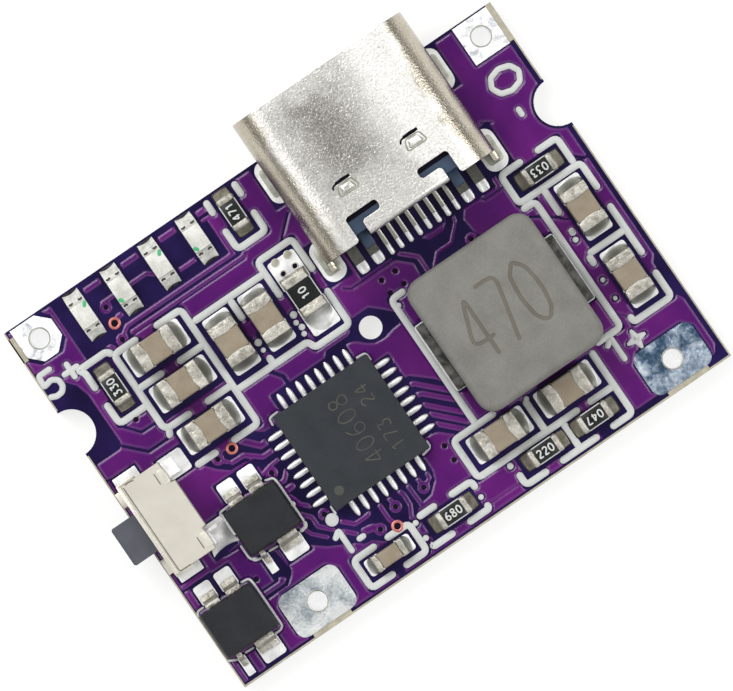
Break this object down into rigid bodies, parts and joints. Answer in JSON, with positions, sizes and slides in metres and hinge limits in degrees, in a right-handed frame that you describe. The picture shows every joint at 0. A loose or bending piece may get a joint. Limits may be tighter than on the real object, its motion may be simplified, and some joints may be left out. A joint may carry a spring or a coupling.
{
  "type": "charging module",
  "caption": "Small circuit board that charges one cell from a USB-C socket, with charge lights, a side push-button, a power coil and plated pads for wires.",
  "frame": {"origin": "centre of the board's rectangle on its underside", "axes": "+X along the board's long edge, +Y towards the USB-C socket, +Z out of the component side"},
  "size_m": [0.0269, 0.0207, 0.0045],
  "materials": {
    "board": "semi-gloss solder mask over glass laminate",
    "tin": "bright tinned copper",
    "solder": "bright solder",
    "shell_steel": "satin plated steel",
    "plate_steel": "plain steel",
    "contact_gold": "plated copper alloy",
    "insulator": "dark moulded plastic",
    "button_cream": "cream moulded plastic",
    "button_dark": "dark moulded plastic",
    "powder_core": "pressed powder, satin",
    "chip_black": "matt moulding compound",
    "ceramic_tan": "fired ceramic, satin",
    "alumina": "white fired ceramic",
    "resistor_coat": "black glaze",
    "lens": "milky cast resin",
    "carrier": "white laminate",
    "legend": "white legend ink"
  },
  "bodies": {
    "module": {"button_base": "button_cream", "button_dome": "plate_steel", "button_faceplate": "plate_steel", "button_terminals": "tin", "capacitor_1": "ceramic_tan", "capacitor_10": "ceramic_tan", "capacitor_2": "ceramic_tan", "capacitor_3": "ceramic_tan", "capacitor_4": "ceramic_tan", "capacitor_5": "ceramic_tan", "capacitor_6": "ceramic_tan", "capacitor_7": "ceramic_tan", "capacitor_8": "ceramic_tan", "capacitor_9": "ceramic_tan", "capacitor_ends": "tin", "circuit_board": "board", "component_lands": "tin", "controller_body": "chip_black", "controller_leads": "tin", "inductor_core": "powder_core", "inductor_terminals": "tin", "led_1": "lens", "led_2": "lens", "led_3": "lens", "led_4": "lens", "led_carriers": "carrier", "led_ends": "tin", "pad_battery_minus": "tin", "pad_battery_plus": "tin", "pad_input_minus": "tin", "pad_input_plus": "tin", "protection_chip_1_body": "chip_black", "protection_chip_1_leads": "tin", "protection_chip_2_body": "chip_black", "protection_chip_2_leads": "tin", "resistor_1": "alumina", "resistor_2": "alumina", "resistor_3": "alumina", "resistor_4": "alumina", "resistor_5": "alumina", "resistor_6": "alumina", "resistor_7": "alumina", "resistor_coats": "resistor_coat", "resistor_ends": "tin", "silkscreen": "legend", "solder_joints": "solder", "usb_insulator": "insulator", "usb_mid_plate": "plate_steel", "usb_power_contacts": "contact_gold", "usb_shell": "shell_steel", "usb_signal_contacts": "contact_gold"},
    "button": {"button_plunger": "button_dark"}
  },
  "joints": [
    {"name": "button_press", "type": "slide", "parent": "module", "child": "button", "axis": [1, 0, 0], "range_m": [0, 0.00025], "stiffness_N_per_m": 3000, "springref_m": -0.0003}
  ]
}
